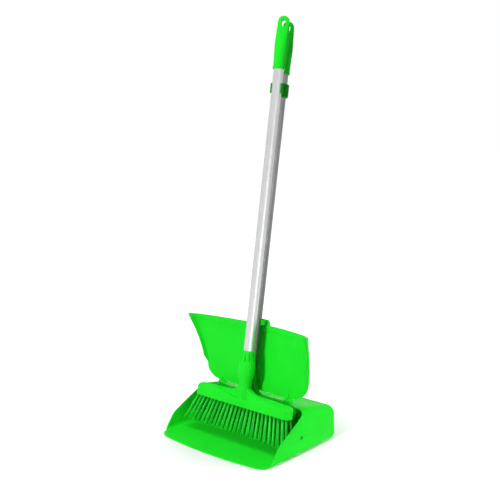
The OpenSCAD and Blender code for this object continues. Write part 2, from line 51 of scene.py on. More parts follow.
# The handle leans back from its pivot, the lid leans with it, and the broom stands in front
LEAN = math.radians(9.3)
BROOM_X, BROOM_GAP = 10.5, 29.5
joint_places = {joint["name"]: joint.get("pos_m") for joint in frame["record"]["behaviour"]["joints"]}


def leaning(joint):
    """The frame of an assembly that leans back from its hinge."""
    return Matrix.Translation(joint_places[joint]) @ Matrix.Rotation(-LEAN, 4, "X")


BROOM = leaning("handle_tip") @ Matrix.Translation((BROOM_X * MM, -BROOM_GAP * MM, 0))
LID = leaning("lid_swing")


# Camera

EYE, TARGET = (1.16948, -1.32515, 0.70581), (-0.0003, 0.01147, 0.41415)
SENSOR_MM, LENS_MM, FAR = 36, 60.575, 50


def aimed(name, data, place, aim):
    """A camera or a lamp at a place, turned towards a point."""
    thing = bpy.data.objects.new(name, data)
    thing.location = place
    thing.rotation_euler = (Vector(aim) - Vector(place)).to_track_quat("-Z", "Y").to_euler()
    scene.collection.objects.link(thing)
    return thing


def place_camera():
    data = bpy.data.cameras.new("camera")
    data.sensor_width = SENSOR_MM
    data.lens = LENS_MM
    data.clip_end = FAR
    scene.camera = aimed("camera", data, EYE, TARGET)


# Node trees

class Nodes:
    """A node tree, with short ways to add and join nodes."""

    def __init__(self, tree):
        self.tree = tree

    def put(self, value, socket):
        """Gives an input its value, or joins another node's output to it."""
        if isinstance(value, bpy.types.NodeSocket):
            self.tree.links.new(value, socket)
        else:
            socket.default_value = value

    def add(self, kind, inputs=None, **settings):
        node = self.tree.nodes.new(kind)
        for name, value in settings.items():
            setattr(node, name, value)
        for key, value in (inputs or {}).items():
            self.put(value, node.inputs[key])
        return node

    def math(self, how, a, b=0.0):
        return self.add("ShaderNodeMath", {0: a, 1: b}, operation=how).outputs[0]

    def axes(self, place):
        """The x, y and z of a vector."""
        return self.add("ShaderNodeSeparateXYZ", {0: place}).outputs

    def spread(self, value, low, high, to_low, to_high):
        """A value's range laid over another range."""
        node = self.add("ShaderNodeMapRange", {
            "Value": value, "From Min": low, "From Max": high,
            "To Min": to_low, "To Max": to_high})
        return node.outputs["Result"]

    def seen_by(self, *rays):
        """One for these kinds of ray, nought for the others."""
        path = self.add("ShaderNodeLightPath")
        seen = path.outputs[rays[0]]
        for ray in rays[1:]:
            seen = self.math("MAXIMUM", seen, path.outputs[ray])
        return seen


# Finishes

# Most of a noise lies between these values
NOISE_LOW, NOISE_HIGH = 0.3, 0.7


class Finish(Nodes):
    """A material with one shader, set up in object coordinates."""

    def __init__(self, name):
        self.material = bpy.data.materials.new(name)
        self.material.use_nodes = True
        super().__init__(self.material.node_tree)
        self.tree.nodes.clear()
        self.shader = self.add("ShaderNodeBsdfPrincipled")
        self.add("ShaderNodeOutputMaterial", {"Surface": self.shader.outputs["BSDF"]})
        self.place = self.add("ShaderNodeTexCoord").outputs["Object"]

    def turned(self, scale, rotation):
        """Object coordinates, turned and stretched."""
        node = self.add("ShaderNodeMapping", {
            "Vector": self.place, "Scale": scale, "Rotation": rotation})
        return node.outputs["Vector"]

    def noise(self, scale, detail=2, roughness=0.5, at=None):
        node = self.add("ShaderNodeTexNoise", {
            "Vector": at or self.place, "Scale": scale, "Detail": detail, "Roughness": roughness})
        return node.outputs["Fac"]

    def varied(self, noise, low, high):
        """A noise spread over a range."""
        return self.spread(noise, NOISE_LOW, NOISE_HIGH, low, high)

    def attribute(self, name):
        return self.add("ShaderNodeAttribute", attribute_name=name).outputs["Fac"]

    def mix(self, factor, a, b):
        node = self.add("ShaderNodeMix", {0: factor, 6: a, 7: b}, data_type="RGBA")
        return node.outputs[2]

    def bump(self, height, distance, strength, after=None):
        node = self.add("ShaderNodeBump", {
            "Height": height, "Distance": distance, "Strength": strength})
        if after:
            self.put(after, node.inputs["Normal"])
        return node.outputs["Normal"]

    def set(self, **values):
        for name, value in values.items():
            self.put(value, self.shader.inputs[name.replace("_", " ")])


def rgb(red, green, blue):
    return (red, green, blue, 1)


def grey(level):
    """A grey with a trace of blue, as aluminium has it."""
    return (level, level, level * 1.01, 1)


def moulded_plastic(name, colour, shade, scuff):
    """Satin moulded plastic: drifting colour, fine spark-eroded grain, a few rubbed streaks."""
    f = Finish(name)
    tone = f.mix(f.varied(f.noise(scale=11, detail=3), 0, 1), shade, colour)
    askew = f.turned(scale=(0.12, 1, 0.35), rotation=(0.3, 0.2, 0.5))
    streaks = f.noise(scale=260, detail=3, roughness=0.6, at=askew)
    tone = f.mix(f.spread(streaks, 0.66, 0.8, 0, 0.35), tone, scuff)
    waves = f.noise(scale=38, detail=1, roughness=0.4)
    grain = f.noise(scale=1500, roughness=0.6)
    normal = f.bump(waves, distance=0.0006, strength=0.25)
    normal = f.bump(grain, distance=0.00012, strength=0.35, after=normal)
    patches = f.varied(f.noise(scale=75, detail=3), 0.41, 0.53)
    f.set(Base_Color=tone, Roughness=patches, Normal=normal, IOR=1.49, Specular_IOR_Level=0.08)
    return f.material


# Painted shade and a painted reflection darken a tube towards its foot, fading out between these
# heights
FOOT_SHADE_LOW, FOOT_SHADE_HIGH = 0.16, 0.6


def drawn_aluminium(name, light, shade, painted_foot_shade):
    """Anodised tube: hair lines along the pole, small changes of sheen, and painted shade with a
    painted green reflection darkening it towards the foot.
    """
    f = Finish(name)
    along = f.turned(scale=(1, 1, 0.006), rotation=(LEAN, 0, 0))
    hair = f.noise(scale=2600, roughness=0.6, at=along)
    bands = f.noise(scale=420, at=along)
    tone = f.mix(f.varied(bands, 0, 1), grey(shade), grey(light))
    clouds = f.spread(f.noise(scale=24, detail=4), 0.45, 0.75, 0, 0.35)
    tone = f.mix(clouds, tone, grey(shade * 0.92))
    # A dark green laid over the foot: painted shade and a painted reflection of the green lid
    foot_shade_mask = f.spread(f.axes(f.place)[2], FOOT_SHADE_LOW, FOOT_SHADE_HIGH, painted_foot_shade, 0)
    tone = f.mix(foot_shade_mask, tone, rgb(0.05, 0.07, 0.05))
    f.set(Base_Color=tone, Roughness=f.varied(hair, 0.36, 0.48), Metallic=0.65,
          Normal=f.bump(hair, distance=0.00004, strength=0.5))
    return f.material


def bristle_finish():
    """Filaments: each with its own shade, and painted shade darkening them at the roots."""
    f = Finish("green_bristle_filament")
    tone = f.mix(f.attribute("shade"), rgb(0.020, 0.70, 0.036), rgb(0.045, 0.92, 0.080))
    # Painted shade: the filaments darken towards the roots, where they crowd together under the block
    painted_root_shade = f.spread(f.attribute("along"), 0, 0.2, 0.3, 0)
    tone = f.mix(painted_root_shade, tone, rgb(0.002, 0.20, 0.006))
    fine = f.noise(scale=900, roughness=0.6)
    f.set(Base_Color=tone, Roughness=f.varied(fine, 0.38, 0.55), IOR=1.5, Specular_IOR_Level=0.2,
          Normal=f.bump(fine, distance=0.0001, strength=0.3))
    return f.material


green_plastic = moulded_plastic(
    "bright_green_moulding",
    colour=rgb(0.016, 0.80, 0.028), shade=rgb(0.013, 0.74, 0.022), scuff=rgb(0.04, 0.84, 0.06))
# A darker copy of the bright green moulding: painted shade for the yoke, its pins and the clip, which
# lie in shade behind the broom
shaded_green_plastic = moulded_plastic(
    "deep_green_moulding",
    colour=rgb(0.005, 0.36, 0.010), shade=rgb(0.004, 0.31, 0.008), scuff=rgb(0.012, 0.42, 0.02))
# The same tube twice: bright for the broom's pole, and darker for the pan's pole and rivet, painted
# shade for the broom's pole standing in front of them
bright_tube = drawn_aluminium("satin_aluminium_tube", light=0.64, shade=0.56, painted_foot_shade=0.0)
shaded_tube = drawn_aluminium("dull_aluminium_tube", light=0.30, shade=0.22, painted_foot_shade=0.75)
bristle = bristle_finish()


# Meshes

# Corners of a solid that lie this close together are one, and faces this flat are one, in degrees
SAME_PLACE, FLAT = 2e-6, 0.3
# Edges of a solid that turn further than this are eased or shaded sharp, in degrees
SOLID_CORNER, SOLID_SHARP = 32, 34


def keep(name, mesh, body, stands_for, material=None):
    """The finished piece: at the origin, on its body, with its finish."""
    piece = bpy.data.objects.new(name, mesh)
    scene.collection.objects.link(piece)
    if material:
        mesh.materials.clear()
        mesh.materials.append(material)
    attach(piece, body)
    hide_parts(stands_for)


def plain_mesh(piece):
    """The piece's mesh with its modifiers worked in. The helper object is thrown away."""
    bpy.context.view_layer.update()
    graph = bpy.context.evaluated_depsgraph_get()
    mesh = bpy.data.meshes.new_from_object(piece.evaluated_get(graph), depsgraph=graph)
    bpy.data.objects.remove(piece)
    return mesh


def from_bmesh(name, bm):
    mesh = bpy.data.meshes.new(name)
    bm.to_mesh(mesh)
    bm.free()
    return mesh


def eased(mesh, radius, steps, corner, sharp):
    """The mesh with the edges that turn more than the corner angle rounded."""
    helper = bpy.data.objects.new("eased", mesh)
    scene.collection.objects.link(helper)
    ease = helper.modifiers.new("ease", "BEVEL")
    ease.width = radius * MM
    ease.segments = steps
    ease.limit_method = "ANGLE"
    ease.angle_limit = math.radians(corner)
    ease.use_clamp_overlap = True
    ease.miter_outer = "MITER_ARC"
    done = plain_mesh(helper)
    for face in done.polygons:
        face.use_smooth = True
    done.set_sharp_from_angle(angle=math.radians(sharp))
    return done


def eased_copy(node, radius, steps=3):
    """The solid's own shape with its edges eased by a small radius, as a mould leaves them."""
    source = bmesh.new()
    source.from_mesh(nodes[node].data)
    bmesh.ops.remove_doubles(source, verts=source.verts, dist=SAME_PLACE)
    bmesh.ops.dissolve_limit(
        source, angle_limit=math.radians(FLAT), verts=source.verts, edges=source.edges)
    source.verts.index_update()
    mesh = bpy.data.meshes.new(node)
    mesh.from_pydata(
        [v.co.copy() for v in source.verts], [], [[v.index for v in f.verts] for f in source.faces])
    source.free()
    return eased(mesh, radius, steps, SOLID_CORNER, SOLID_SHARP)


def joined(name, meshes):
    """Several meshes as one, each with its own finish kept."""
    parts = []
    for mesh in meshes:
        part = bpy.data.objects.new(name, mesh)
        scene.collection.objects.link(part)
        parts.append(part)
    with bpy.context.temp_override(
            active_object=parts[0], selected_editable_objects=parts, selected_objects=parts):
        bpy.ops.object.join()
    mesh = parts[0].data
    bpy.data.objects.remove(parts[0])
    return mesh


class Growth(Nodes):
    """A geometry node tree with named inputs."""

    def __init__(self, name, sizes):
        super().__init__(bpy.data.node_groups.new(name, "GeometryNodeTree"))
        face = self.tree.interface
        face.new_socket("Geometry", in_out="INPUT", socket_type="NodeSocketGeometry")
        for label, (kind, _) in sizes.items():
            face.new_socket(label, in_out="INPUT", socket_type=kind)
        face.new_socket("Geometry", in_out="OUTPUT", socket_type="NodeSocketGeometry")
        self.size = self.add("NodeGroupInput").outputs
        self.outlet = self.add("NodeGroupOutput")
        self.sizes = sizes

    def vector(self, how, a, b=(0, 0, 0)):
        return self.add("ShaderNodeVectorMath", {0: a, 1: b}, operation=how).outputs[0]

    def scaled(self, a, by):
        return self.add("ShaderNodeVectorMath", {0: a, "Scale": by}, operation="SCALE").outputs[0]

    def xyz(self, x, y, z):
        return self.add("ShaderNodeCombineXYZ", {0: x, 1: y, 2: z}).outputs[0]

    def here(self):
        """The x, y and z of each point."""
        return self.axes(self.add("GeometryNodeInputPosition").outputs[0])

    def between(self, a, b, share):
        return self.math("ADD", a, self.math("MULTIPLY", self.math("SUBTRACT", b, a), share))

    def part_way(self, value, start, length):
        """How far a value has come over a length: nought before it, one after it."""
        way = self.math("DIVIDE", self.math("SUBTRACT", value, start), length)
        return self.add("ShaderNodeClamp", {0: way}).outputs[0]

    def arc(self, share):
        """The height of a quarter circle at a share of its radius."""
        left = self.math("SUBTRACT", 1.0, self.math("MULTIPLY", share, share))
        return self.math("SQRT", self.math("MAXIMUM", left, 0.0))

    def chance(self, low, high, seed):
        node = self.add("FunctionNodeRandomValue", data_type="FLOAT")
        ends = [s for s in node.inputs if s.name in ("Min", "Max") and s.type == "VALUE"]
        for end, value in zip(ends, (low, high)):
            end.default_value = value
        self.put(seed, node.inputs["Seed"])
        return [s for s in node.outputs if s.type == "VALUE"][0]

    def store(self, geometry, name, value, kind="FLOAT", domain="POINT"):
        node = self.add("GeometryNodeStoreNamedAttribute", {
            "Geometry": geometry, "Name": name, "Value": value}, data_type=kind, domain=domain)
        return node.outputs[0]

    def stored(self, name, kind="FLOAT"):
        node = self.add("GeometryNodeInputNamedAttribute", {"Name": name}, data_type=kind)
        return node.outputs[0]

    def moved(self, geometry, offset, **where):
        return self.add("GeometryNodeSetPosition", {
            "Geometry": geometry, "Offset": offset, **where}).outputs[0]

    def finish(self, geometry, material):
        done = self.add("GeometryNodeSetMaterial", {"Geometry": geometry, "Material": material})
        self.put(done.outputs[0], self.outlet.inputs["Geometry"])

    def grow(self, name, mesh, values):
        """Runs the tree on a mesh and gives back a plain mesh."""
        helper = bpy.data.objects.new(name, mesh)
        scene.collection.objects.link(helper)
        modifier = helper.modifiers.new(name, "NODES")
        modifier.node_group = self.tree
        for item in self.tree.interface.items_tree:
            if item.item_type == "SOCKET" and item.in_out == "INPUT" and item.name in self.sizes:
                modifier[item.identifier] = values.get(item.name, self.sizes[item.name][1])
        return plain_mesh(helper)


# Bristles

BLOCK_LEN, BLOCK_DEPTH, BLOCK_END_R, BLOCK_FOOT = 264, 29, 13, 38
SLICE, SLICE_GAP, SLICE_ARC_STEPS = 2, 0.05, 6
ROWS, COLUMNS = 4, 24
ROW_PITCH = (BLOCK_DEPTH - SLICE) / ROWS
TUFT_PITCH = (BLOCK_LEN - BLOCK_END_R) / COLUMNS
# Tufts of every other row stand between those of the row before it
STAGGER = (TUFT_PITCH / 4, -TUFT_PITCH / 4)
BRISTLE_LEN, ROOT_DEPTH = 59, 1
TIP_SWEEP, ROW_FAN, TIP_STRAY_X, TIP_STRAY_Y = 8.5, 5, 1, 0.5
# Half the pan's inner width, and the room left between it and the outermost tips
PAN_INNER_X, TIP_GAP = 150.09, 5
STRAND_R, STRAND_GAP_SHARE = 1.25, 1.35
STRAND_SPREAD = STRAND_R * STRAND_GAP_SHARE
TIP_SEED, ROW_SEED = 5, 10


def row_y(row):
    return (row - (ROWS + 1) / 2) * ROW_PITCH


def tuft_x(i):
    return (i - (COLUMNS - 1) / 2) * TUFT_PITCH


def tuft_tip(x, y):
    """Where a tuft ends: the rows fan out and are swept to one side."""
    tip_x = PAN_INNER_X - TIP_GAP + TIP_SWEEP - BROOM_X
    fan = tip_x / (tuft_x(COLUMNS - 1) + STRAND_SPREAD)
    rear = row_y(ROWS) + STRAND_SPREAD
    return x * fan - TIP_SWEEP, y + ROW_FAN * (y - rear) / (rear * 2)


def bristle_tree():
    """Tufts: each point becomes a bunch of thin rods along its aim."""
    t = Growth("bristle tufts", {
        "Filaments": ("NodeSocketInt", 26),
        "Hole radius": ("NodeSocketFloat", 2.2 * MM),
        "Filament radius": ("NodeSocketFloat", 0.42 * MM),
        "Tip radius": ("NodeSocketFloat", 0.34 * MM),
        "Splay": ("NodeSocketFloat", 0.6),
        "Stray": ("NodeSocketFloat", 0.8 * MM),
        "Trim": ("NodeSocketFloat", 0.05),
        "Seed": ("NodeSocketInt", 7),
    })
    size, calc = t.size, t.math
    seeds = [calc("ADD", size["Seed"], float(k)) for k in range(6)]
    many = t.add("GeometryNodeDuplicateElements", {
        "Geometry": size["Geometry"], "Amount": size["Filaments"]}, domain="POINT")
    angle = t.chance(0, 2 * math.pi, seeds[0])
    out = calc("MULTIPLY", calc("SQRT", t.chance(0, 1, seeds[1])), size["Hole radius"])
    aside = t.xyz(
        calc("MULTIPLY", out, calc("COSINE", angle)), calc("MULTIPLY", out, calc("SINE", angle)), 0.0)
    stray = t.scaled(
        t.xyz(t.chance(-1, 1, seeds[2]), t.chance(-1, 1, seeds[3]), 0.0), size["Stray"])
    short = calc("SUBTRACT", 1.0, calc("MULTIPLY", t.chance(0, 1, seeds[4]), size["Trim"]))
    trimmed = t.scaled(t.stored("aim", "FLOAT_VECTOR"), short)
    reach = t.vector("ADD", trimmed, t.vector("ADD", t.scaled(aside, size["Splay"]), stray))
    aimed_out = t.store(many.outputs["Geometry"], "reach", reach, "FLOAT_VECTOR")
    way = t.stored("reach", "FLOAT_VECTOR")
    rod = t.add("GeometryNodeMeshCone", {
        "Vertices": 5, "Side Segments": 3, "Radius Top": size["Tip radius"],
        "Radius Bottom": size["Filament radius"], "Depth": 1.0})
    turn = t.add("FunctionNodeAlignRotationToVector", {"Vector": way}, axis="Z")
    long = t.add("ShaderNodeVectorMath", {0: way}, operation="LENGTH").outputs["Value"]
    placed = t.add("GeometryNodeInstanceOnPoints", {
        "Points": t.moved(aimed_out, aside),
        "Instance": t.store(rod.outputs["Mesh"], "along", t.here()[2]),
        "Rotation": turn.outputs[0], "Scale": t.xyz(1.0, 1.0, long)})
    shaded = t.store(placed.outputs[0], "shade", t.chance(0, 1, seeds[5]), domain="INSTANCE")
    real = t.add("GeometryNodeRealizeInstances", {"Geometry": shaded})
    smooth = t.add("GeometryNodeSetShadeSmooth", {"Geometry": real.outputs[0]})
    t.finish(smooth.outputs[0], bristle)
    return t


def backing_slice(row):
    """The strip of the block's foot that a row is set in."""
    low = row_y(row) - ROW_PITCH / 2 + SLICE_GAP
    high = row_y(row) + ROW_PITCH / 2
    right = []
    for k in range(SLICE_ARC_STEPS + 1):
        y = low + (high - low) * k / SLICE_ARC_STEPS
        past = max(0, abs(y) - (BLOCK_DEPTH / 2 - BLOCK_END_R))
        x = BLOCK_LEN / 2 - BLOCK_END_R + math.sqrt(BLOCK_END_R ** 2 - past ** 2)
        right.append((x, y))
    plan = right + [(-x, y) for x, y in reversed(right)]
    bm = bmesh.new()
    add_prism(bm, plan, 2, 0, SLICE - SLICE_GAP)
    mesh = from_bmesh("backing", bm)
    mesh.materials.append(green_plastic)
    return mesh


def make_bristles():
    tree = bristle_tree()
    pick = random.Random(TIP_SEED)
    for row in range(1, ROWS + 1):
        roots = []
        aims = []
        for i in range(COLUMNS):
            x, y = tuft_x(i) + STAGGER[row % 2], row_y(row)
            tip_x, tip_y = tuft_tip(x, y)
            roots.append((x * MM, y * MM, ROOT_DEPTH * MM))
            aims += [(tip_x - x + pick.uniform(-TIP_STRAY_X, TIP_STRAY_X)) * MM,
                     (tip_y - y + pick.uniform(-TIP_STRAY_Y, TIP_STRAY_Y)) * MM,
                     -(BRISTLE_LEN + ROOT_DEPTH) * MM]
        points = bpy.data.meshes.new("tufts")
        points.from_pydata(roots, [], [])
        points.attributes.new("aim", "FLOAT_VECTOR", "POINT").data.foreach_set("vector", aims)
        tufts = tree.grow("tufts_row_%d" % row, points, {"Seed": ROW_SEED * row})
        mesh = joined("bristle_row_%d" % row, [tufts, backing_slice(row)])
        mesh.transform(BROOM @ Matrix.Translation((0, 0, BLOCK_FOOT * MM)))
        keep("bristle_row_%d" % row, mesh, "broom", "bristles_row_%d" % row)


# Lid

LID_H, LID_T, BAND_H, BAND_STEP = 149, 2.4, 11, 1.2
# The bow at shares of the half width
BOW_SHARES = ((0, 0), (0.2, 0.03), (0.4, 0.12), (0.6, 0.27), (0.8, 0.46), (0.93, 0.66),
              (0.97, 0.8), (1, 1))
# Faint ribs down the face, at shares of the sheet's columns, and the height over which they rise
FACE_RIB_PLACES, FACE_RIB_HALF, FACE_RIB_RISE = (0.24, 0.5), 0.012, 12
# The side edges turn forward from this column on, over one column
FLANGE_PLACE, FLANGE_FOLD = 0.88, 0.01
FLANGE_RISE, FLANGE_TAPER_H, FLANGE_TAPER = 16, 80, 0.65
HINGE_X, KNUCKLE_R, KNUCKLE_W, PIN_BORE_R, BORE_WALL = 96, 5.4, 10, 2.55, 0.6
NOTCH_HALF_W, NOTCH_H = 9, 5.8
# Gusset ribs, with the shares of depth and height that their hollow front edge passes
RIB_H, RIB_T, RIB_D = 27, 3.6, 8
RIB_HOLLOW = ((0.4, 0.6), (0.62, 0.36))
TAB_W, TAB_H, TAB_CORNER_R, TAB_ARC_STEPS = 48, 12, 9, 12
POLE_R, LID_BACK, PRONG_T, RUN_GAP = 11, 17.8, 2.8, 0.4
SEAM = 1e-6


def lid_sizes():
    length = "NodeSocketFloat"
    return {
        "Columns": ("NodeSocketInt", 201),
        "Rows": ("NodeSocketInt", 81),
        "Height": (length, LID_H * MM),
        "Foot height": (length, 4.5 * MM),
        "Foot width": (length, 196 * MM),
        "Hip width": (length, 290 * MM),
        "Top width": (length, 337.7 * MM),
        "Lower corner": (length, 32 * MM),
        "Upper corner": (length, 3.5 * MM),
        "Rim": (length, 2 * MM),
        "Curl": (length, 61 * MM),
        "Curl from": (length, 36 * MM),
        "Curl power": (length, 1.4),
        "Thickness": (length, LID_T * MM),
        "Band height": (length, BAND_H * MM),
        "Band thickness": (length, 1.6 * MM),
        "Rib height": (length, 0.6 * MM),
        "Ribs from": (length, 72 * MM),
        "Flange depth": (length, 11 * MM),
        "Flange from": (length, 37 * MM),
    }


def lid_half_width(t, h):
    """Half the width at a height: rounded lower corners, straight sides, small upper corners."""
    size, calc = t.size, t.math
    high, foot, corner = size["Height"], size["Foot height"], size["Upper corner"]
    hip = calc("ADD", foot, size["Lower corner"])
    below = calc("SUBTRACT", 1.0, t.part_way(h, foot, size["Lower corner"]))
    low_w = t.between(size["Foot width"], size["Hip width"], t.arc(below))
    flare = calc("SUBTRACT", size["Top width"], size["Hip width"])
    more_w = calc("MULTIPLY", flare, t.part_way(h, hip, calc("SUBTRACT", high, hip)))
    above = t.part_way(h, calc("SUBTRACT", high, corner), corner)
    cut = calc("MULTIPLY", corner, calc("SUBTRACT", 1.0, t.arc(above)))
    return calc("SUBTRACT", calc("MULTIPLY", calc("ADD", low_w, more_w), 0.5), cut)


def lid_bow(t, h, share):
    """How far the sheet stands forward, more and more towards the free edge and the sides."""
    size, calc = t.size, t.math
    start = size["Curl from"]
    risen = t.part_way(h, start, calc("SUBTRACT", size["Height"], start))
    bow = t.between(size["Rim"], size["Curl"], calc("POWER", risen, size["Curl power"]))
    curve = t.add("ShaderNodeFloatCurve", {"Value": calc("ABSOLUTE", share)})
    line = curve.mapping.curves[0]
    line.points[0].location = BOW_SHARES[0]
    line.points[1].location = BOW_SHARES[-1]
    for place in BOW_SHARES[1:-1]:
        line.points.new(*place)
    curve.mapping.update()
    return calc("MULTIPLY", curve.outputs[0], bow)


def lid_face_ribs(t, column):
    """One on the middle line of a faint rib, nought beside it."""
    calc = t.math
    ribs = 0.0
    for place in FACE_RIB_PLACES:
        off = calc("ABSOLUTE", calc("SUBTRACT", column, place))
        near = calc("SUBTRACT", 1.0, calc("DIVIDE", off, FACE_RIB_HALF))
        ribs = calc("ADD", ribs, calc("MAXIMUM", near, 0.0))
    return ribs


def lid_flange(t, h, column):
    """How far the side edges turn forward, less so higher up."""
    calc, start = t.math, t.size["Flange from"]
    higher = t.part_way(h, start, FLANGE_TAPER_H * MM)
    taper = calc("SUBTRACT", 1.0, calc("MULTIPLY", higher, FLANGE_TAPER))
    along = calc("MULTIPLY", t.part_way(h, start, FLANGE_RISE * MM), taper)
    fold = t.part_way(column, FLANGE_PLACE, FLANGE_FOLD)
    return calc("MULTIPLY", along, calc("MULTIPLY", fold, t.size["Flange depth"]))


def lid_tree():
    """The scoop: a sheet whose level sections bow more and more towards the free edge."""
    t = Growth("scoop lid", lid_sizes())
    size, calc = t.size, t.math
    grid = t.add("GeometryNodeMeshGrid", {
        "Size X": 2.0, "Size Y": 1.0, "Vertices X": size["Columns"], "Vertices Y": size["Rows"]})
    # The grid runs from -1 to 1 across and from 0 to 1 upwards, and is drawn together at its edges
    at = t.here()
    u, v = at[0], calc("ADD", at[1], 0.5)
    share = calc("MULTIPLY", u, calc("SUBTRACT", 1.5, calc("MULTIPLY", calc("MULTIPLY", u, u), 0.5)))
    rise = calc("MULTIPLY", calc("MULTIPLY", v, v), calc("SUBTRACT", 3.0, calc("MULTIPLY", v, 2.0)))
    h = t.between(size["Foot height"], size["Height"], rise)
    column = calc("ABSOLUTE", u)
    sheet = t.store(grid.outputs["Mesh"], "rib", lid_face_ribs(t, column))
    sheet = t.store(sheet, "flange", lid_flange(t, h, column))
    x = calc("MULTIPLY", share, lid_half_width(t, h))
    y = calc("MULTIPLY", lid_bow(t, h, share), -1.0)
    shaped = t.add("GeometryNodeSetPosition", {"Geometry": sheet, "Position": t.xyz(x, y, h)})
    # The thickness is laid on along the level part of the normals
    level = t.vector("MULTIPLY", t.add("GeometryNodeInputNormal").outputs[0], (1, 1, 0))
    facing = t.store(shaped.outputs[0], "facing", t.vector("NORMALIZE", level), "FLOAT_VECTOR")
    outward = t.stored("facing", "FLOAT_VECTOR")
    thick = size["Thickness"]
    rear = t.moved(facing, t.scaled(outward, calc("MULTIPLY", thick, -0.5)))
    block = t.add("GeometryNodeExtrudeMesh", {
        "Mesh": rear, "Offset Scale": 0.0, "Individual": False}, mode="FACES")
    z = t.here()[2]
    band_from = calc("SUBTRACT", calc("SUBTRACT", size["Height"], size["Band height"]), BAND_STEP * MM)
    band = calc("MULTIPLY", size["Band thickness"], t.part_way(z, band_from, BAND_STEP * MM))
    ribs = calc("MULTIPLY", calc("MULTIPLY", t.stored("rib"), size["Rib height"]),
                t.part_way(z, size["Ribs from"], FACE_RIB_RISE * MM))
    laid_on = t.scaled(outward, calc("ADD", thick, calc("MAXIMUM", band, ribs)))
    forward = t.xyz(0.0, calc("MULTIPLY", t.stored("flange"), -1.0), 0.0)
    front = t.moved(block.outputs["Mesh"], t.vector("ADD", laid_on, forward),
                    Selection=block.outputs["Top"])
    back = t.add("GeometryNodeFlipFaces", {"Mesh": rear})
    both = t.add("GeometryNodeJoinGeometry")
    for half in (back.outputs[0], front):
        t.put(half, both.inputs[0])
    closed = t.add("GeometryNodeMergeByDistance", {"Geometry": both.outputs[0], "Distance": SEAM})
    # The foot is cut out round the hinge ears
    notched = t.add("GeometryNodeMeshBoolean", {"Mesh 1": closed.outputs[0]},
                    operation="DIFFERENCE", solver="EXACT")
    room = t.add("GeometryNodeMeshCube", {
        "Size": (NOTCH_HALF_W * 2 * MM, NOTCH_H * 2 * MM, NOTCH_H * 2 * MM)})
    for side in (-1, 1):
        there = t.add("GeometryNodeTransform", {
            "Geometry": room.outputs[0], "Translation": (side * HINGE_X * MM, 0, 0)})
        t.put(there.outputs[0], notched.inputs["Mesh 2"])
    real = t.add("GeometryNodeRealizeInstances", {"Geometry": notched.outputs[0]})
    t.finish(real.outputs[0], green_plastic)
    return t


def add_prism(bm, outline, along, low, high):
    """An outline, set out in the two other axes, drawn along one axis."""
    ends = []
    for far in (low, high):
        ring = []
        for a, b in outline:
            place = [a, b]
            place.insert(along, far)
            ring.append(bm.verts.new([c * MM for c in place]))
        ends.append(ring)
    faces = [bm.faces.new(ends[0]), bm.faces.new(ends[1])]
    for k in range(len(outline)):
        j = (k + 1) % len(outline)
        faces.append(bm.faces.new((ends[0][k], ends[0][j], ends[1][j], ends[1][k])))
    bmesh.ops.recalc_face_normals(bm, faces=faces)


def add_barrel(bm, x, width, outer, inner, sides=40):
    """A barrel with a bore, lying along the hinge."""
    left, right = x - width / 2, x + width / 2
    profile = ((left, inner), (left, outer), (right, outer), (right, inner))
    rings = []
    for k in range(sides):
        a = 2 * math.pi * k / sides
        rings.append([bm.verts.new((px * MM, r * math.cos(a) * MM, r * math.sin(a) * MM))
                      for px, r in profile])
    faces = []
    for k in range(sides):
        here, there = rings[k], rings[(k + 1) % sides]
        for i in range(len(profile)):
            j = (i + 1) % len(profile)
            faces.append(bm.faces.new((here[i], here[j], there[j], there[i])))
    bmesh.ops.recalc_face_normals(bm, faces=faces)


def box_outline(left, right, low, high):
    return (left, low), (right, low), (right, high), (left, high)


def add_hinge(bm, x):
    """A knuckle, its neck and its gusset rib."""
    neck_foot = PIN_BORE_R + BORE_WALL
    half_w = KNUCKLE_W / 2
    add_barrel(bm, x, KNUCKLE_W, KNUCKLE_R, PIN_BORE_R)
    add_prism(bm, box_outline(x - half_w, x + half_w, neck_foot, KNUCKLE_R * 2),
              1, -LID_T / 2, LID_T / 2)
    rib = [(0, neck_foot), (0, RIB_H), (-LID_T / 2, RIB_H)]
    rib += [(-RIB_D * depth, RIB_H * height) for depth, height in RIB_HOLLOW]
    rib += [(-RIB_D, KNUCKLE_R), (-RIB_D, neck_foot)]
    add_prism(bm, rib, 0, x - RIB_T / 2, x + RIB_T / 2)


def add_tab(bm):
    """The tab on the free edge, with the prongs that hold the pan's pole."""
    tab = [(TAB_W / 2, LID_H - BAND_H)]
    for k in range(TAB_ARC_STEPS + 1):
        a = math.pi / 2 * k / TAB_ARC_STEPS
        tab.append((TAB_W / 2 - TAB_CORNER_R * (1 - math.cos(a)),
                    LID_H + TAB_H - TAB_CORNER_R * (1 - math.sin(a))))
    tab += [(-x, z) for x, z in reversed(tab)]
    add_prism(bm, tab, 1, -LID_T / 2, LID_T / 2)
    prong = box_outline(-LID_BACK - PRONG_T, 0, LID_H, LID_H + TAB_H)
    inside = POLE_R + RUN_GAP
    for side in (-1, 1):
        near, far = sorted((side * inside, side * (inside + PRONG_T)))
        add_prism(bm, prong, 0, near, far)


def lid_fittings():
    bm = bmesh.new()
    for x in (-HINGE_X, HINGE_X):
        add_hinge(bm, x)
    add_tab(bm)
    mesh = from_bmesh("lid_fittings", bm)
    mesh.materials.append(green_plastic)
    return mesh


def make_lid():
    seed = bpy.data.meshes.new("lid_seed")
    sheet = lid_tree().grow("lid_sheet", seed, {})
    mesh = joined("green_lid", [
        eased(sheet, radius=0.5, steps=2, corner=50, sharp=40),
        eased(lid_fittings(), radius=0.4, steps=2, corner=40, sharp=34)])
    mesh.transform(LID)
    keep("green_lid", mesh, "lid", "lid", green_plastic)


# Mouldings and poles: node, body, radius of the eased edges and finish

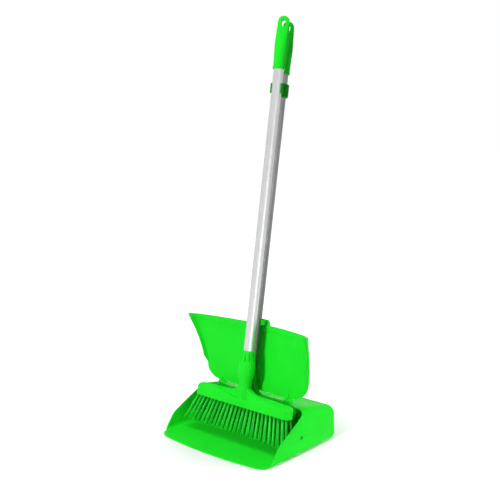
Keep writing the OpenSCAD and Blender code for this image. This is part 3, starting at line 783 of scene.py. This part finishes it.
MOULDINGS = (
    ("pan_body", "pan", 0.9, green_plastic),
    ("lid_hinge_pins", "pan", 0.4, green_plastic),
    ("pan_grip", "handle", 1.6, green_plastic),
    ("broom_block", "broom", 1.6, green_plastic),
    ("collet_nut", "broom", 0.9, green_plastic),
    ("broom_grip", "broom", 1.6, green_plastic),
    # The yoke, its pivot pins and the clip take the darker copy of the green, painted shade for where
    # they lie
    ("yoke", "handle", 1.2, shaded_green_plastic),
    ("yoke_pivot_pins", "handle", 0.9, shaded_green_plastic),
    ("broom_clip", "handle", 0.8, shaded_green_plastic),
)
POLES = (
    # The pan's pole and its rivet take the darker copy of the tube, painted shade from the broom's
    # pole in front
    ("pan_pole", "handle", 0.15, shaded_tube),
    ("pole_rivet", "handle", 0.15, shaded_tube),
    ("broom_pole", "broom", 0.15, bright_tube),
)


def make_mouldings():
    for node, body, radius, finish in MOULDINGS:
        keep("green_" + node, eased_copy(node, radius), body, node, finish)


def make_poles():
    for node, body, radius, finish in POLES:
        keep("tube_" + node, eased_copy(node, radius, steps=1), body, node, finish)


# Stage

# The light that the object gets from all round, and the floor's own tone
SKY_LIGHT, FLOOR_TONE = 0.10, 0.86
FLOOR_HALF, FLOOR_DROP = 12, 0.0004
# The floor glows white further off; the glow fades towards the object, which paints a darker zone
# round it where its shadow also lies
FADE_NEAR, FADE_FAR, FADE_LEVEL = 0.15, 0.4, 0.16


def soft_lamp(name, place, aim, size, power, spread=180, mirrored=False):
    """An area lamp that lights the object, or one that shows in its gloss alone."""
    data = bpy.data.lights.new(name, "AREA")
    data.shape = "RECTANGLE"
    data.size, data.size_y = size
    data.energy = power
    data.spread = math.radians(spread)
    lamp = aimed(name, data, place, aim)
    lamp.visible_glossy = mirrored
    lamp.visible_diffuse = not mirrored


def light_stage():
    soft_lamp("key", (0.2, -2.45, 1.25), aim=(0, 0, 0.25), size=(0.3, 0.3), power=51)
    soft_lamp("side", (1.6, 1.3, 0.3), aim=(0.12, 0.02, 0), size=(0.6, 0.4), power=1.25, spread=34)
    soft_lamp("top", (0.1, 0.1, 2.5), aim=(0, 0, 0), size=(1.0, 1.0), power=24)
    soft_lamp("sheen", (2.25, -1.1, 0.42), aim=(0, 0, 0.35), size=(0.4, 0.5), power=12,
              mirrored=True)
    scene.world = bpy.data.worlds.new("studio")
    scene.world.use_nodes = True
    n = Nodes(scene.world.node_tree)
    n.tree.nodes.clear()
    shown = n.seen_by("Is Camera Ray", "Is Transmission Ray", "Is Glossy Ray")
    sky = n.add("ShaderNodeBackground", {
        "Color": rgb(1, 1, 1), "Strength": n.spread(shown, 0, 1, SKY_LIGHT, 1)})
    n.add("ShaderNodeOutputWorld", {"Surface": sky.outputs[0]})


def floor_paper():
    """Matt white paper that glows to a plain white background further off, with painted shade round
    the object where the glow fades.
    """
    paper = bpy.data.materials.new("white_paper_floor")
    paper.use_nodes = True
    n = Nodes(paper.node_tree)
    n.tree.nodes.clear()
    place = n.add("ShaderNodeTexCoord").outputs["Object"]
    away = n.add("ShaderNodeVectorMath", {0: place}, operation="LENGTH").outputs["Value"]
    glow_with_painted_shade = n.spread(away, FADE_NEAR, FADE_FAR, FADE_LEVEL, 1)
    shown = n.seen_by("Is Camera Ray", "Is Glossy Ray")
    matt = n.add("ShaderNodeBsdfDiffuse", {"Color": rgb(FLOOR_TONE, FLOOR_TONE, FLOOR_TONE)})
    white = n.add("ShaderNodeEmission", {"Strength": n.math("MULTIPLY", shown, glow_with_painted_shade)})
    both = n.add("ShaderNodeAddShader", {0: matt.outputs[0], 1: white.outputs[0]})
    n.add("ShaderNodeOutputMaterial", {"Surface": both.outputs[0]})
    return paper


def lay_floor():
    bm = bmesh.new()
    bmesh.ops.create_grid(bm, x_segments=1, y_segments=1, size=FLOOR_HALF)
    mesh = from_bmesh("floor", bm)
    mesh.transform(Matrix.Translation((0, 0, -FLOOR_DROP)))
    mesh.materials.append(floor_paper())
    floor = bpy.data.objects.new("floor", mesh)
    scene.collection.objects.link(floor)


place_camera()
make_mouldings()
make_lid()
make_poles()
make_bristles()
light_stage()
lay_floor()
